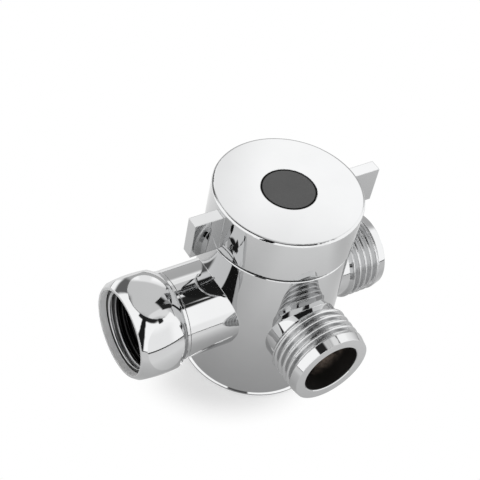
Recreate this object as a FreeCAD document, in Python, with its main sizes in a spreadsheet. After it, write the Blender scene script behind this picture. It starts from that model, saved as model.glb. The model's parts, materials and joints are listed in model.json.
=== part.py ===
"""Shower diverter valve: a T-shaped chromed body with a swivel inlet nut and two threaded outlets.

A winged knob turns a plug with a T-shaped passage, which sends the water to one outlet or to both.
Millimetres. The origin is the centre of the base, and +Z runs up the axis of the knob.
The inlet nut is at -X, the straight outlet at +X and the branch outlet at -Y.
"""

import FreeCAD
import Part
import math
import os
import Sketcher

FULL_TURN = 360

SIZES = {
    # Clearances
    "running_gap": 0.05,
    "thread_gap": 0.02,
    "plug_end_gap": 0.2,
    "seal_gap": 0.025,
    # Barrel of the valve body
    "base_radius": 18.95,
    "top_radius": 17.9,
    "base_round": 1.1,
    "top_round": 0.3,
    "port_height": 23.2,
    "floor_height": 8.0,
    # Ports
    "flow_radius": 5.0,
    "seat_radius": 7.0,
    "seat_reach": 14.4,
    "seat_shelf": 1.9,
    # Outlets, male G1/2
    "thread_radius": 10.4775,
    "thread_depth": 1.162,
    "thread_start": 19.4,
    "outlet_reach": 30.3,
    "neck_radius": 9.6,
    "lead_length": 2.2,
    "lead_radius": 10.0,
    "outlet_bore": 7.32,
    "mouth_chamfer": 0.25,
    # Inlet collar and tail
    "collar_radius": 11.16,
    "collar_reach": 27.9,
    "tail_radius": 8.0,
    "tail_land": 0.8,
    "tail_chamfer": 0.3,
    # Ring that holds the nut on the tail
    "ring_stand": 1.15,
    "ring_thickness": 1.0,
    "groove_depth": 0.7,
    "groove_gap": 0.05,
    "ring_split": 22.0,
    # Inlet nut, female G1/2
    "nut_gap": 0.15,
    "nut_length": 13.1,
    "nut_band": 0.75,
    "nut_rim": 0.6,
    "nut_corner": 0.9,
    "nut_flats": 25.2,
    "flat_drop": 0.72,
    "flat_sweep": 40.0,
    "nut_round": 0.3,
    "nut_turn": 53.0,
    "lip_thickness": 1.6,
    "lip_gap": 0.3,
    "relief_clearance": 0.0725,
    "relief_margin": 0.3,
    "entry_clearance": 0.1725,
    "entry_depth": 1.95,
    "thread_chamfer": 0.5,
    # Inlet washer
    "washer_radius": 9.2,
    "washer_hole": 5.6,
    "washer_thickness": 1.8,
    # Plug
    "plug_radius": 11.0,
    "plug_chamfer": 0.5,
    "plug_seal": 1.8,
    "plug_seal_offset": 9.4,
    "plug_land": 1.4,
    "seal_slack": 0.2,
    # Stem
    "stem_radius": 4.5,
    "stem_seal": 1.2,
    "first_stem_seal": 2.4,
    "stem_seal_pitch": 2.9,
    "stem_proud": 0.4,
    "square_width": 6.2,
    "square_length": 4.4,
    "screw_tip_gap": 0.9,
    # Thrust washer
    "thrust_thickness": 1.0,
    "thrust_inset": 0.2,
    "thrust_hole_gap": 0.3,
    # Gland
    "gland_radius": 12.5,
    "gland_length": 4.8,
    "gland_seal": 1.2,
    "flange_radius": 13.8,
    "flange_thickness": 1.4,
    "flange_gap": 0.2,
    "flange_sink": 0.8,
    "boss_radius": 6.0,
    "boss_height": 2.0,
    "spanner_hole": 0.9,
    "spanner_circle": 12.1,
    "spanner_depth": 1.2,
    # Stop between the gland's dog and the knob's lug, in degrees and millimetres
    "knob_travel": 180.0,
    "lug_angle": 24.0,
    "stop_slack": 0.5,
    "dog_radius": 8.0,
    "dog_width": 2.5,
    "dog_height": 3.0,
    "lug_inset": 0.2,
    "lug_lift": 0.6,
    # Glide ring under the knob
    "glide_land": 0.9,
    "glide_width": 2.0,
    "glide_height": 1.1,
    "glide_recess": 0.6,
    "glide_gap": 0.15,
    # Knob
    "knob_overhang": 0.3,
    "knob_round": 0.68,
    "skirt_round": 0.4,
    "skirt_wall": 2.2,
    "crown_thickness": 3.2,
    "hub_radius": 6.2,
    "hub_lift": 0.7,
    "socket_gap": 0.05,
    "socket_head_gap": 0.3,
    "web_thickness": 1.3,
    "rib_thickness": 1.5,
    "rib_lift": 0.9,
    "rib_turn": 30.0,
    # Wings
    "wing_reach": 25.8,
    "wing_thickness": 3.02,
    "wing_foot": 0.65,
    "wing_drop": 1.09,
    # Index cap
    "cap_radius": 6.65,
    "cap_gap": 0.12,
    "cap_thickness": 1.4,
    "cap_wall": 0.8,
    "cap_skirt": 1.2,
    "well_gap": 0.05,
    # Knob screw, M4
    "screw_radius": 2.0,
    "screw_length": 8.0,
    "screw_hole_gap": 0.2,
    "head_radius": 3.5,
    "head_height": 2.2,
    "head_round": 0.7,
    "head_side_gap": 0.25,
    "head_top_gap": 0.45,
    "cross_width": 1.0,
    "cross_length": 3.8,
    "cross_depth": 1.3,
    "lock_thickness": 0.8,
    "lock_radius": 3.6,
    "lock_split": 20.0,
}

NUT_SIDES = 6
RIB_COUNT = 6
WING_COUNT = 2
SQUARE_SIDES = 4
CROSS_ARMS = 2
SPANNER_HOLES = 2

# A cut runs past the solid by this factor, and edges are found to this distance in millimetres
OVERCUT = 1.1
NEAR = 1e-4

document = FreeCAD.newDocument("diverter_valve")
sheet = document.addObject("Spreadsheet::Sheet", "Sizes")


class Size:
    """A number with the formula that ties it to the sheet."""

    def __init__(self, value, text):
        self.value = float(value)
        self.text = text

    def __add__(self, other):
        other = as_size(other)
        return Size(self.value + other.value, f"({self.text} + {other.text})")

    def __sub__(self, other):
        other = as_size(other)
        return Size(self.value - other.value, f"({self.text} - {other.text})")

    def __mul__(self, factor):
        factor = as_size(factor)
        return Size(self.value * factor.value, f"({self.text} * {factor.text})")

    def __truediv__(self, divisor):
        divisor = as_size(divisor)
        return Size(self.value / divisor.value, f"({self.text} / {divisor.text})")

    def __neg__(self):
        return Size(-self.value, f"(-{self.text})")


def root(size):
    """The square root of a size."""
    return Size(math.sqrt(size.value), f"sqrt({size.text})")


def as_size(number):
    """A plain number as a Size, and a Size as it is."""
    if isinstance(number, Size):
        return number
    return Size(number, str(number))


def fill_sheet():
    """Write the sizes to the sheet, one row each, and return them by name."""
    named = {}
    for row, (alias, value) in enumerate(SIZES.items(), start=1):
        sheet.set(f"A{row}", alias.replace("_", " "))
        sheet.set(f"B{row}", str(value))
        sheet.setAlias(f"B{row}", alias)
        named[alias] = Size(value, f"Sizes.{alias}")
    document.recompute()
    return named


# Bodies, sketches and features


def new_body(label):
    body = document.addObject("PartDesign::Body", label)
    body.Label = label
    return body


def set_place(body, x=0, y=0, z=0, axis=(0, 0, 1), angle=0):
    """Stand the body at x, y, z and turn it about the axis, each tied to the sheet."""
    body.Placement = FreeCAD.Placement(
        FreeCAD.Vector(0, 0, 0), FreeCAD.Rotation(FreeCAD.Vector(*axis), as_size(angle).value)
    )
    for letter, size in (("x", x), ("y", y), ("z", z)):
        if isinstance(size, Size):
            body.setExpression(f"Placement.Base.{letter}", size.text)
    if isinstance(angle, Size):
        body.setExpression("Placement.Rotation.Angle", angle.text)


def new_sketch(body, name, role, up=0, out=0, turn=0, about=(0, 0, 1)):
    """A sketch on an origin plane of its body, moved up and out of it and turned about an axis of its own."""
    sketch = body.newObject("Sketcher::SketchObject", name)
    plane = [part for part in body.Origin.OriginFeatures if part.Role == role][0]
    sketch.AttachmentSupport = [(plane, "")]
    sketch.MapMode = "FlatFace"
    sketch.AttachmentOffset = FreeCAD.Placement(
        FreeCAD.Vector(0, 0, 0), FreeCAD.Rotation(FreeCAD.Vector(*about), as_size(turn).value)
    )
    for path, size in (("Base.y", up), ("Base.z", out), ("Rotation.Angle", turn)):
        if isinstance(size, Size):
            sketch.setExpression(f"AttachmentOffset.{path}", size.text)
    return sketch


def fix_point(sketch, geometry, end, point):
    """Hold one end of a line or arc at a point given by two sizes."""
    axes = (("DistanceX", -2), ("DistanceY", -1))
    for (kind, axis), size in zip(axes, point):
        size = as_size(size)
        if size.text == "0":
            sketch.addConstraint(Sketcher.Constraint("PointOnObject", geometry, end, axis))
            continue
        index = sketch.addConstraint(Sketcher.Constraint(kind, -1, 1, geometry, end, size.value))
        sketch.setExpression(f"Constraints[{index}]", size.text)


def arc_between(start, end, radius):
    """The arc that runs counter-clockwise from start to end, its centre on the left of the chord."""
    chord = end - start
    half = chord.Length / 2
    rise = math.sqrt(radius * radius - half * half)
    left = FreeCAD.Vector(-chord.y, chord.x, 0).normalize()
    centre = start + chord * 0.5 + left * rise
    begin = math.atan2(start.y - centre.y, start.x - centre.x)
    finish = math.atan2(end.y - centre.y, end.x - centre.x)
    circle_of_arc = Part.Circle(centre, FreeCAD.Vector(0, 0, 1), radius)
    return Part.ArcOfCircle(circle_of_arc, begin, finish if finish > begin else finish + 2 * math.pi)


def outline(sketch, points, arcs=None):
    """Draw a closed outline. An entry in arcs gives the radius of the arc that leaves that point."""
    arcs = arcs or {}
    corners = [FreeCAD.Vector(as_size(x).value, as_size(y).value, 0) for x, y in points]
    for index, start in enumerate(corners):
        end = corners[(index + 1) % len(corners)]
        if index in arcs:
            sketch.addGeometry(arc_between(start, end, arcs[index].value), False)
        else:
            sketch.addGeometry(Part.LineSegment(start, end), False)
    for index, point in enumerate(points):
        before = index - 1 if index else len(points) - 1
        sketch.addConstraint(Sketcher.Constraint("Coincident", before, 2, index, 1))
        fix_point(sketch, index, 1, point)
    for index, radius in arcs.items():
        held = sketch.addConstraint(Sketcher.Constraint("Radius", index, radius.value))
        sketch.setExpression(f"Constraints[{held}]", radius.text)


def rectangle(sketch, left, right, bottom, top):
    outline(sketch, [(left, bottom), (right, bottom), (right, top), (left, top)])


def upright_line(sketch, right, bottom, top):
    """A construction line to turn an outline about. It follows the outline in the sketch."""
    ends = [(right, bottom), (right, top)]
    start, end = (FreeCAD.Vector(as_size(x).value, as_size(y).value, 0) for x, y in ends)
    line = sketch.addGeometry(Part.LineSegment(start, end), True)
    for end_number, point in enumerate(ends, start=1):
        fix_point(sketch, line, end_number, point)


def circle(sketch, radius, right=0, up=0):
    shape = Part.Circle(
        FreeCAD.Vector(as_size(right).value, as_size(up).value, 0), FreeCAD.Vector(0, 0, 1), radius.value
    )
    edge = sketch.addGeometry(shape, False)
    fix_point(sketch, edge, 3, (right, up))
    held = sketch.addConstraint(Sketcher.Constraint("Radius", edge, radius.value))
    sketch.setExpression(f"Constraints[{held}]", radius.text)


def revolve(body, name, sketch, axis="V_Axis", cut=False, angle=None, centred=False):
    """Turn a sketch about one of its own axes, to add or to cut."""
    feature = body.newObject("PartDesign::Groove" if cut else "PartDesign::Revolution", name)
    feature.Profile = sketch
    feature.ReferenceAxis = (sketch, [axis])
    feature.Angle = FULL_TURN if angle is None else angle.value
    feature.Midplane = centred
    if angle is not None:
        feature.setExpression("Angle", angle.text)
    body.Tip = feature
    return feature


def pad(body, name, sketch, length):
    """Raise a sketch out of its plane."""
    feature = body.newObject("PartDesign::Pad", name)
    feature.Profile = sketch
    feature.setExpression("Length", length.text)
    body.Tip = feature
    return feature


def pocket(body, name, sketch, length, upward=False, centred=False):
    """Cut a sketch down into the solid, or upward, or half to each side."""
    feature = body.newObject("PartDesign::Pocket", name)
    feature.Profile = sketch
    feature.setExpression("Length", length.text)
    feature.Reversed = upward
    if centred:
        feature.SideType = "Symmetric"
    body.Tip = feature
    return feature


def pattern(body, name, feature, count):
    """Repeat a feature evenly about the body's own Z axis."""
    axis = [part for part in body.Origin.OriginFeatures if part.Role == "Z_Axis"][0]
    repeated = body.newObject("PartDesign::PolarPattern", name)
    repeated.Originals = [feature]
    repeated.Axis = (axis, [""])
    repeated.Angle = FULL_TURN
    repeated.Occurrences = count
    body.Tip = repeated
    return repeated


def ring_edges(feature, radius, height):
    """The names of a feature's full circular edges about Z of one radius at one height."""
    document.recompute()
    names = []
    for number, edge in enumerate(feature.Shape.Edges, start=1):
        curve = edge.Curve
        if not isinstance(curve, Part.Circle) or abs(curve.Radius - radius.value) > NEAR:
            continue
        centre = curve.Center
        if math.hypot(centre.x, centre.y) < NEAR and abs(centre.z - height) < NEAR:
            names.append(f"Edge{number}")
    return names


def soften(body, name, feature, radius, edges):
    """Round the named edges of a feature."""
    rounded = body.newObject("PartDesign::Fillet", name)
    rounded.Base = (feature, edges)
    rounded.setExpression("Radius", radius.text)
    body.Tip = rounded
    return rounded


# Heights and reaches that several pieces share


def shared_places(size):
    """Places worked out once from the sizes, all from the base or from an axis."""
    place = {}
    half_groove = (size["plug_seal"] + size["seal_slack"]) / 2
    place["plug_foot"] = size["floor_height"] + size["plug_end_gap"]
    place["shoulder"] = size["port_height"] + size["plug_seal_offset"] + half_groove + size["plug_land"]
    place["thrust_foot"] = place["shoulder"] + size["plug_end_gap"]
    place["gland_seat"] = place["thrust_foot"] + size["thrust_thickness"]
    place["flange_seat"] = place["gland_seat"] + size["gland_length"]
    place["flange_top"] = place["flange_seat"] + size["flange_thickness"]
    place["boss_top"] = place["flange_top"] + size["boss_height"]
    place["barrel_top"] = place["flange_top"] + size["flange_sink"]

    place["glide_outer"] = size["top_radius"] - size["glide_land"]
    place["glide_inner"] = place["glide_outer"] - size["glide_width"]
    place["glide_seat"] = place["barrel_top"] - size["glide_recess"]
    place["knob_foot"] = place["glide_seat"] + size["glide_height"] + size["glide_gap"]
    place["knob_radius"] = size["top_radius"] + size["knob_overhang"]
    place["square_foot"] = place["boss_top"] + size["stem_proud"]
    place["stem_top"] = place["square_foot"] + size["square_length"]
    place["socket_top"] = place["stem_top"] + size["socket_head_gap"]
    place["screw_seat"] = place["socket_top"] + size["web_thickness"]
    place["head_foot"] = place["screw_seat"] + size["lock_thickness"]
    place["cap_foot"] = place["head_foot"] + size["head_height"] + size["head_top_gap"]
    place["knob_height"] = place["cap_foot"] + size["cap_thickness"] - place["knob_foot"]
    place["well_radius"] = size["head_radius"] + size["head_side_gap"] + size["cap_wall"] + size["well_gap"]

    place["nut_back"] = size["collar_reach"] + size["nut_gap"]
    place["ring_near"] = place["nut_back"] + size["lip_thickness"] + size["nut_gap"]
    place["ring_far"] = place["ring_near"] + size["ring_thickness"]
    place["tail_reach"] = place["ring_far"] + size["groove_gap"] + size["tail_land"]
    place["relief_reach"] = place["tail_reach"] + size["washer_thickness"] + size["relief_margin"]
    return place


# The cast body


def build_valve_body(size, place):
    """One casting: tapered barrel, inlet collar and tail, and two outlets, all bored through."""
    body = new_body("valve_body")
    chamber = size["plug_radius"] + size["running_gap"]
    height = place["barrel_top"]

    barrel = new_sketch(body, "barrel_outline", "XZ_Plane")
    outline(barrel, [(0, 0), (size["base_radius"], 0), (size["top_radius"], height), (0, height)])
    solid = revolve(body, "barrel", barrel)

    inlet = new_sketch(body, "inlet_outline", "XZ_Plane", up=size["port_height"])
    tail = -place["tail_reach"]
    outline(inlet, [
        (0, 0),
        (0, size["collar_radius"]),
        (-size["collar_reach"], size["collar_radius"]),
        (-size["collar_reach"], size["tail_radius"]),
        (tail + size["tail_chamfer"], size["tail_radius"]),
        (tail, size["tail_radius"] - size["tail_chamfer"]),
        (tail, 0),
    ])
    revolve(body, "inlet", inlet, "H_Axis")

    full_thread = size["thread_start"] + size["thread_radius"] - size["neck_radius"]
    for name, role, side in (("straight", "XZ_Plane", 1), ("branch", "YZ_Plane", -1)):
        spigot = new_sketch(body, f"{name}_outline", role, up=size["port_height"])
        end = size["outlet_reach"] * side
        outline(spigot, [
            (0, 0),
            (0, size["neck_radius"]),
            (size["thread_start"] * side, size["neck_radius"]),
            (full_thread * side, size["thread_radius"]),
            ((size["outlet_reach"] - size["lead_length"]) * side, size["thread_radius"]),
            (end, size["lead_radius"]),
            (end, 0),
        ])
        solid = revolve(body, f"{name}_outlet", spigot, "H_Axis")

    bores = new_sketch(body, "plug_bore_outline", "XZ_Plane")
    flange = size["flange_radius"] + size["flange_gap"]
    gland = size["gland_radius"] + size["thread_gap"]
    outline(bores, [
        (0, size["floor_height"]),
        (chamber, size["floor_height"]),
        (chamber, place["gland_seat"]),
        (gland, place["gland_seat"]),
        (gland, place["flange_seat"]),
        (flange, place["flange_seat"]),
        (flange, height),
        (0, height),
    ])
    revolve(body, "plug_bore", bores, cut=True)

    recess = new_sketch(body, "glide_recess_outline", "XZ_Plane")
    rectangle(recess, place["glide_inner"], place["glide_outer"], place["glide_seat"], height)
    revolve(body, "glide_recess", recess, cut=True)

    bore_end = size["seat_reach"] + size["seat_shelf"]
    for name, role, side in (("straight", "XZ_Plane", 1), ("branch", "YZ_Plane", -1)):
        port = new_sketch(body, f"{name}_port_outline", role, up=size["port_height"])
        end = size["outlet_reach"] * side
        outline(port, [
            (0, 0),
            (0, size["seat_radius"]),
            (size["seat_reach"] * side, size["seat_radius"]),
            (size["seat_reach"] * side, size["flow_radius"]),
            (bore_end * side, size["flow_radius"]),
            (bore_end * side, size["outlet_bore"]),
            (end - size["mouth_chamfer"] * side, size["outlet_bore"]),
            (end, size["outlet_bore"] + size["mouth_chamfer"]),
            (end, 0),
        ])
        revolve(body, f"{name}_port", port, "H_Axis", cut=True)

    feed = new_sketch(body, "inlet_port_outline", "XZ_Plane", up=size["port_height"])
    outline(feed, [
        (0, 0),
        (0, size["seat_radius"]),
        (-size["seat_reach"], size["seat_radius"]),
        (-size["seat_reach"], size["flow_radius"]),
        (tail, size["flow_radius"]),
        (tail, 0),
    ])
    revolve(body, "inlet_port", feed, "H_Axis", cut=True)

    groove = new_sketch(body, "ring_groove_outline", "XZ_Plane", up=size["port_height"])
    rectangle(
        groove,
        -(place["ring_far"] + size["groove_gap"]),
        -(place["ring_near"] - size["groove_gap"]),
        size["tail_radius"] - size["groove_depth"],
        size["tail_radius"],
    )
    solid = revolve(body, "ring_groove", groove, "H_Axis", cut=True)

    solid = soften(body, "base_edge", solid, size["base_round"], ring_edges(solid, size["base_radius"], 0))
    top = ring_edges(solid, size["top_radius"], height.value)
    soften(body, "top_edge", solid, size["top_round"], top)


# Inlet side


def build_inlet_nut(size, place):
    """A swivel nut: six crowned flats cut on a barrel, a lip at the back and a pipe thread in front."""
    body = new_body("inlet_nut")
    length = size["nut_length"]
    lip_hole = size["tail_radius"] + size["lip_gap"]
    relief = size["thread_radius"] + size["relief_clearance"]
    entry = size["thread_radius"] + size["entry_clearance"]
    minor = size["thread_radius"] - size["thread_depth"]
    end_radius = entry + size["nut_rim"]
    crown = size["nut_flats"] / 2
    widest = crown + size["nut_corner"]
    swell = widest - end_radius
    half = (length - size["nut_band"]) / 2
    barrel_arc = (half * half + swell * swell) / (swell * 2)
    rim = size["nut_round"]
    rim_rise = half - rim
    rim_run = root((barrel_arc - rim) * (barrel_arc - rim) - rim_rise * rim_rise)
    rim_share = barrel_arc / (barrel_arc - rim)
    arc_centre = widest - barrel_arc
    step = length - size["entry_depth"]
    chamfer = size["thread_chamfer"]
    relief_end = place["relief_reach"] - place["nut_back"]

    profile = new_sketch(body, "nut_outline", "XZ_Plane")
    outline(
        profile,
        [
            (lip_hole, 0),
            (end_radius, 0),
            (end_radius, size["nut_band"]),
            (arc_centre + rim_run * rim_share, length - half + rim_rise * rim_share),
            (arc_centre + rim_run, length),
            (entry, length),
            (entry, step),
            (minor + chamfer, step),
            (minor, step - chamfer),
            (minor, relief_end),
            (relief, relief_end),
            (relief, size["lip_thickness"]),
            (lip_hole, size["lip_thickness"]),
        ],
        arcs={2: barrel_arc, 3: rim},
    )
    revolve(body, "nut_barrel", profile)

    drop = size["flat_drop"]
    flat_curve = (length * length / 4 + drop * drop) / (drop * 2)
    flat = new_sketch(body, "flat_outline", "XZ_Plane", turn=size["nut_turn"], about=(0, 1, 0))
    outline(
        flat,
        [(crown - drop, 0), (crown - drop, length), (widest * OVERCUT, length), (widest * OVERCUT, 0)],
        arcs={0: flat_curve},
    )
    upright_line(flat, crown - flat_curve, 0, length)
    cut = revolve(body, "flat", flat, "Axis0", cut=True, angle=size["flat_sweep"], centred=True)
    pattern(body, "flats", cut, NUT_SIDES)
    set_place(body, x=-place["nut_back"], z=size["port_height"], axis=(0, -1, 0), angle=90)


def build_retaining_ring(size, place):
    """A split ring in the groove of the tail, behind the lip of the nut."""
    body = new_body("nut_retaining_ring")
    section = new_sketch(body, "ring_outline", "XZ_Plane")
    inner = size["tail_radius"] - size["groove_depth"] + size["groove_gap"]
    rectangle(section, inner, size["tail_radius"] + size["ring_stand"], 0, size["ring_thickness"])
    revolve(body, "split_ring", section, angle=as_size(FULL_TURN) - size["ring_split"])
    set_place(body, x=-place["ring_near"], z=size["port_height"], axis=(0, -1, 0), angle=90)


def build_inlet_washer(size, place):
    """The flat rubber washer that seals a pipe end against the tail."""
    body = new_body("inlet_washer")
    section = new_sketch(body, "washer_outline", "XZ_Plane")
    rectangle(section, size["washer_hole"], size["washer_radius"], 0, size["washer_thickness"])
    revolve(body, "washer", section)
    set_place(body, x=-place["tail_reach"], z=size["port_height"], axis=(0, -1, 0), angle=90)


# Plug, seats and seals


def build_seat_ring(size, label, axis, angle):
    """A seat in a port, its inner face hollowed to the round of the plug."""
    body = new_body(label)
    chamber = size["plug_radius"] + size["running_gap"]
    section = new_sketch(body, "seat_outline", "XZ_Plane")
    rectangle(section, 0, size["seat_reach"], size["flow_radius"], size["seat_radius"] - size["thread_gap"])
    revolve(body, "seat", section, "H_Axis")
    face = new_sketch(body, "seat_face_outline", "XY_Plane")
    circle(face, chamber)
    pocket(body, "seat_face", face, size["seat_radius"] * 2 * OVERCUT, centred=True)
    set_place(body, z=size["port_height"], axis=axis, angle=angle)


def build_diverter_plug(size, place):
    """The turned plug: a T-shaped passage, two seal grooves and a stem with a square end."""
    body = new_body("diverter_plug")
    floor = size["plug_radius"] + size["seal_gap"] - size["plug_seal"]
    half_groove = (size["plug_seal"] + size["seal_slack"]) / 2
    port = size["port_height"] - place["plug_foot"]
    low = port - size["plug_seal_offset"]
    high = port + size["plug_seal_offset"]
    chamfer = size["plug_chamfer"]
    stem_floor = size["stem_radius"] + size["seal_gap"] - size["stem_seal"]
    half_stem_groove = (size["stem_seal"] + size["seal_slack"]) / 2
    first = place["gland_seat"] - place["plug_foot"] + size["first_stem_seal"]
    second = first + size["stem_seal_pitch"]
    length = place["shoulder"] - place["plug_foot"]
    top = place["stem_top"] - place["plug_foot"]

    profile = new_sketch(body, "plug_outline", "XZ_Plane")
    outline(profile, [
        (0, 0),
        (size["plug_radius"] - chamfer, 0),
        (size["plug_radius"], chamfer),
        (size["plug_radius"], low - half_groove),
        (floor, low - half_groove),
        (floor, low + half_groove),
        (size["plug_radius"], low + half_groove),
        (size["plug_radius"], high - half_groove),
        (floor, high - half_groove),
        (floor, high + half_groove),
        (size["plug_radius"], high + half_groove),
        (size["plug_radius"], length),
        (size["stem_radius"], length),
        (size["stem_radius"], first - half_stem_groove),
        (stem_floor, first - half_stem_groove),
        (stem_floor, first + half_stem_groove),
        (size["stem_radius"], first + half_stem_groove),
        (size["stem_radius"], second - half_stem_groove),
        (stem_floor, second - half_stem_groove),
        (stem_floor, second + half_stem_groove),
        (size["stem_radius"], second + half_stem_groove),
        (size["stem_radius"], top),
        (0, top),
    ])
    revolve(body, "plug_and_stem", profile)

    run = new_sketch(body, "run_outline", "YZ_Plane", up=port)
    circle(run, size["flow_radius"])
    pocket(body, "run", run, size["plug_radius"] * 2 * OVERCUT, centred=True)
    leg = new_sketch(body, "leg_outline", "XZ_Plane", up=port)
    circle(leg, size["flow_radius"])
    pocket(body, "leg", leg, size["plug_radius"] * OVERCUT, upward=True)

    flat = new_sketch(body, "square_outline", "XY_Plane", out=top)
    stem = size["stem_radius"]
    rectangle(flat, size["square_width"] / 2, stem * OVERCUT, -stem, stem)
    side = pocket(body, "square_side", flat, size["square_length"])
    pattern(body, "square", side, SQUARE_SIDES)

    screw_tip = place["head_foot"] - size["screw_length"]
    tapped = new_sketch(body, "tapped_outline", "XY_Plane", out=top)
    circle(tapped, size["screw_radius"] + size["thread_gap"])
    pocket(body, "tapped_hole", tapped, place["stem_top"] - screw_tip + size["screw_tip_gap"])
    set_place(body, z=place["plug_foot"])


def build_seal(label, radius, section, height):
    """A rubber ring of round section whose outside has the given radius."""
    body = new_body(label)
    ring = new_sketch(body, "seal_outline", "XZ_Plane")
    circle(ring, section / 2, right=radius - section / 2)
    revolve(body, "seal", ring)
    set_place(body, z=height)


def build_thrust_washer(size, place):
    """The washer between the shoulder of the plug and the gland."""
    body = new_body("thrust_washer")
    section = new_sketch(body, "thrust_outline", "XZ_Plane")
    hole = size["stem_radius"] + size["thrust_hole_gap"]
    rectangle(section, hole, size["plug_radius"] - size["thrust_inset"], 0, size["thrust_thickness"])
    revolve(body, "thrust", section)
    set_place(body, z=place["thrust_foot"])


def build_gland(size, place):
    """The screwed gland: threaded skirt, seal groove, flange, stem boss and the stop dog."""
    body = new_body("gland")
    bore = size["stem_radius"] + size["running_gap"]
    groove = size["gland_length"] - size["gland_seal"]
    top = size["gland_length"] + size["flange_thickness"]
    profile = new_sketch(body, "gland_outline", "XZ_Plane")
    outline(profile, [
        (bore, 0),
        (size["gland_radius"], 0),
        (size["gland_radius"], groove),
        (size["gland_radius"] - size["gland_seal"], groove),
        (size["gland_radius"] - size["gland_seal"], size["gland_length"]),
        (size["flange_radius"], size["gland_length"]),
        (size["flange_radius"], top),
        (size["boss_radius"], top),
        (size["boss_radius"], top + size["boss_height"]),
        (bore, top + size["boss_height"]),
    ])
    revolve(body, "gland_ring", profile)

    dog = new_sketch(body, "dog_outline", "XZ_Plane")
    outer = size["dog_radius"] + size["dog_width"]
    rectangle(dog, size["dog_radius"], outer, top - size["flange_thickness"] / 2, top + size["dog_height"])
    angle = as_size(FULL_TURN) - size["knob_travel"] - size["lug_angle"] - size["stop_slack"] * 2
    revolve(body, "stop_dog", dog, angle=angle, centred=True)

    holes = new_sketch(body, "spanner_outline", "XY_Plane", out=top)
    circle(holes, radius=size["spanner_hole"], up=size["spanner_circle"])
    hole = pocket(body, "spanner_hole", holes, size["spanner_depth"])
    pattern(body, "spanner_holes", hole, SPANNER_HOLES)
    set_place(body, z=place["gland_seat"], angle=as_size(FULL_TURN / 2) - size["knob_travel"] / 2)


def build_glide_ring(size, place):
    """The low-friction ring in the top of the barrel that the skirt of the knob runs over."""
    body = new_body("glide_ring")
    section = new_sketch(body, "glide_outline", "XZ_Plane")
    inner = place["glide_inner"] + size["thread_gap"]
    outer = place["glide_outer"] - size["thread_gap"]
    rectangle(section, inner, outer, 0, size["glide_height"])
    revolve(body, "glide", section)
    set_place(body, z=place["glide_seat"])


# Knob


def build_knob(size, place):
    """A hollow cap with two flat wings, and under it a hub, ribs and the stop lug."""
    body = new_body("knob")
    foot = place["knob_foot"]
    radius = place["knob_radius"]
    height = place["knob_height"]
    ceiling = height - size["crown_thickness"]
    inner = radius - size["skirt_wall"]
    hub_foot = place["boss_top"] + size["hub_lift"] - foot
    seat = place["screw_seat"] - foot
    shelf = height - size["cap_thickness"]
    recess = size["cap_radius"] + size["cap_gap"]
    hole = size["screw_radius"] + size["screw_hole_gap"]

    profile = new_sketch(body, "knob_outline", "XZ_Plane")
    outline(profile, [
        (inner, 0),
        (radius, 0),
        (radius, height),
        (recess, height),
        (recess, shelf),
        (place["well_radius"], shelf),
        (place["well_radius"], seat),
        (hole, seat),
        (hole, hub_foot),
        (size["hub_radius"], hub_foot),
        (size["hub_radius"], ceiling),
        (inner, ceiling),
    ])
    solid = revolve(body, "shell", profile)
    top = ring_edges(solid, radius, height.value)
    solid = soften(body, "top_edge", solid, size["knob_round"], top)
    skirt = ring_edges(solid, radius, 0)
    soften(body, "skirt_edge", solid, size["skirt_round"], skirt)

    socket = new_sketch(body, "socket_outline", "XY_Plane", out=hub_foot)
    half = size["square_width"] / 2 + size["socket_gap"]
    rectangle(socket, -half, half, -half, half)
    pocket(body, "socket", socket, place["socket_top"] - foot - hub_foot, upward=True)

    rib_foot = place["flange_top"] + size["dog_height"] + size["rib_lift"] - foot
    rib = new_sketch(body, "rib_outline", "XY_Plane", out=rib_foot, turn=size["rib_turn"])
    rectangle(
        rib,
        size["hub_radius"] - size["rib_thickness"] / 2,
        inner + size["skirt_wall"] / 2,
        -size["rib_thickness"] / 2,
        size["rib_thickness"] / 2,
    )
    first_rib = pad(body, "rib", rib, ceiling + size["crown_thickness"] / 2 - rib_foot)
    pattern(body, "ribs", first_rib, RIB_COUNT)

    lug = new_sketch(body, "lug_outline", "XZ_Plane")
    lug_foot = place["flange_top"] + size["lug_lift"] - foot
    rectangle(
        lug,
        size["dog_radius"] + size["lug_inset"],
        size["dog_radius"] + size["dog_width"] - size["lug_inset"],
        lug_foot,
        ceiling + size["crown_thickness"] / 2,
    )
    revolve(body, "stop_lug", lug, angle=size["lug_angle"], centred=True)

    wing = new_sketch(body, "wing_outline", "XY_Plane", out=size["wing_foot"])
    half_wing = size["wing_thickness"] / 2
    rectangle(wing, inner + size["skirt_wall"] / 2, size["wing_reach"], -half_wing, half_wing)
    first_wing = pad(body, "wing", wing, height - size["wing_foot"] - size["wing_drop"])
    pattern(body, "wings", first_wing, WING_COUNT)
    set_place(body, z=foot)


def build_index_cap(size, place):
    """The disc that hides the screw, with a short skirt that snaps into the well."""
    body = new_body("index_cap")
    outer = place["well_radius"] - size["well_gap"]
    profile = new_sketch(body, "cap_outline", "XZ_Plane")
    outline(profile, [
        (0, 0),
        (outer - size["cap_wall"], 0),
        (outer - size["cap_wall"], -size["cap_skirt"]),
        (outer, -size["cap_skirt"]),
        (outer, 0),
        (size["cap_radius"], 0),
        (size["cap_radius"], size["cap_thickness"]),
        (0, size["cap_thickness"]),
    ])
    revolve(body, "cap", profile)
    set_place(body, z=place["cap_foot"])


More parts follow.
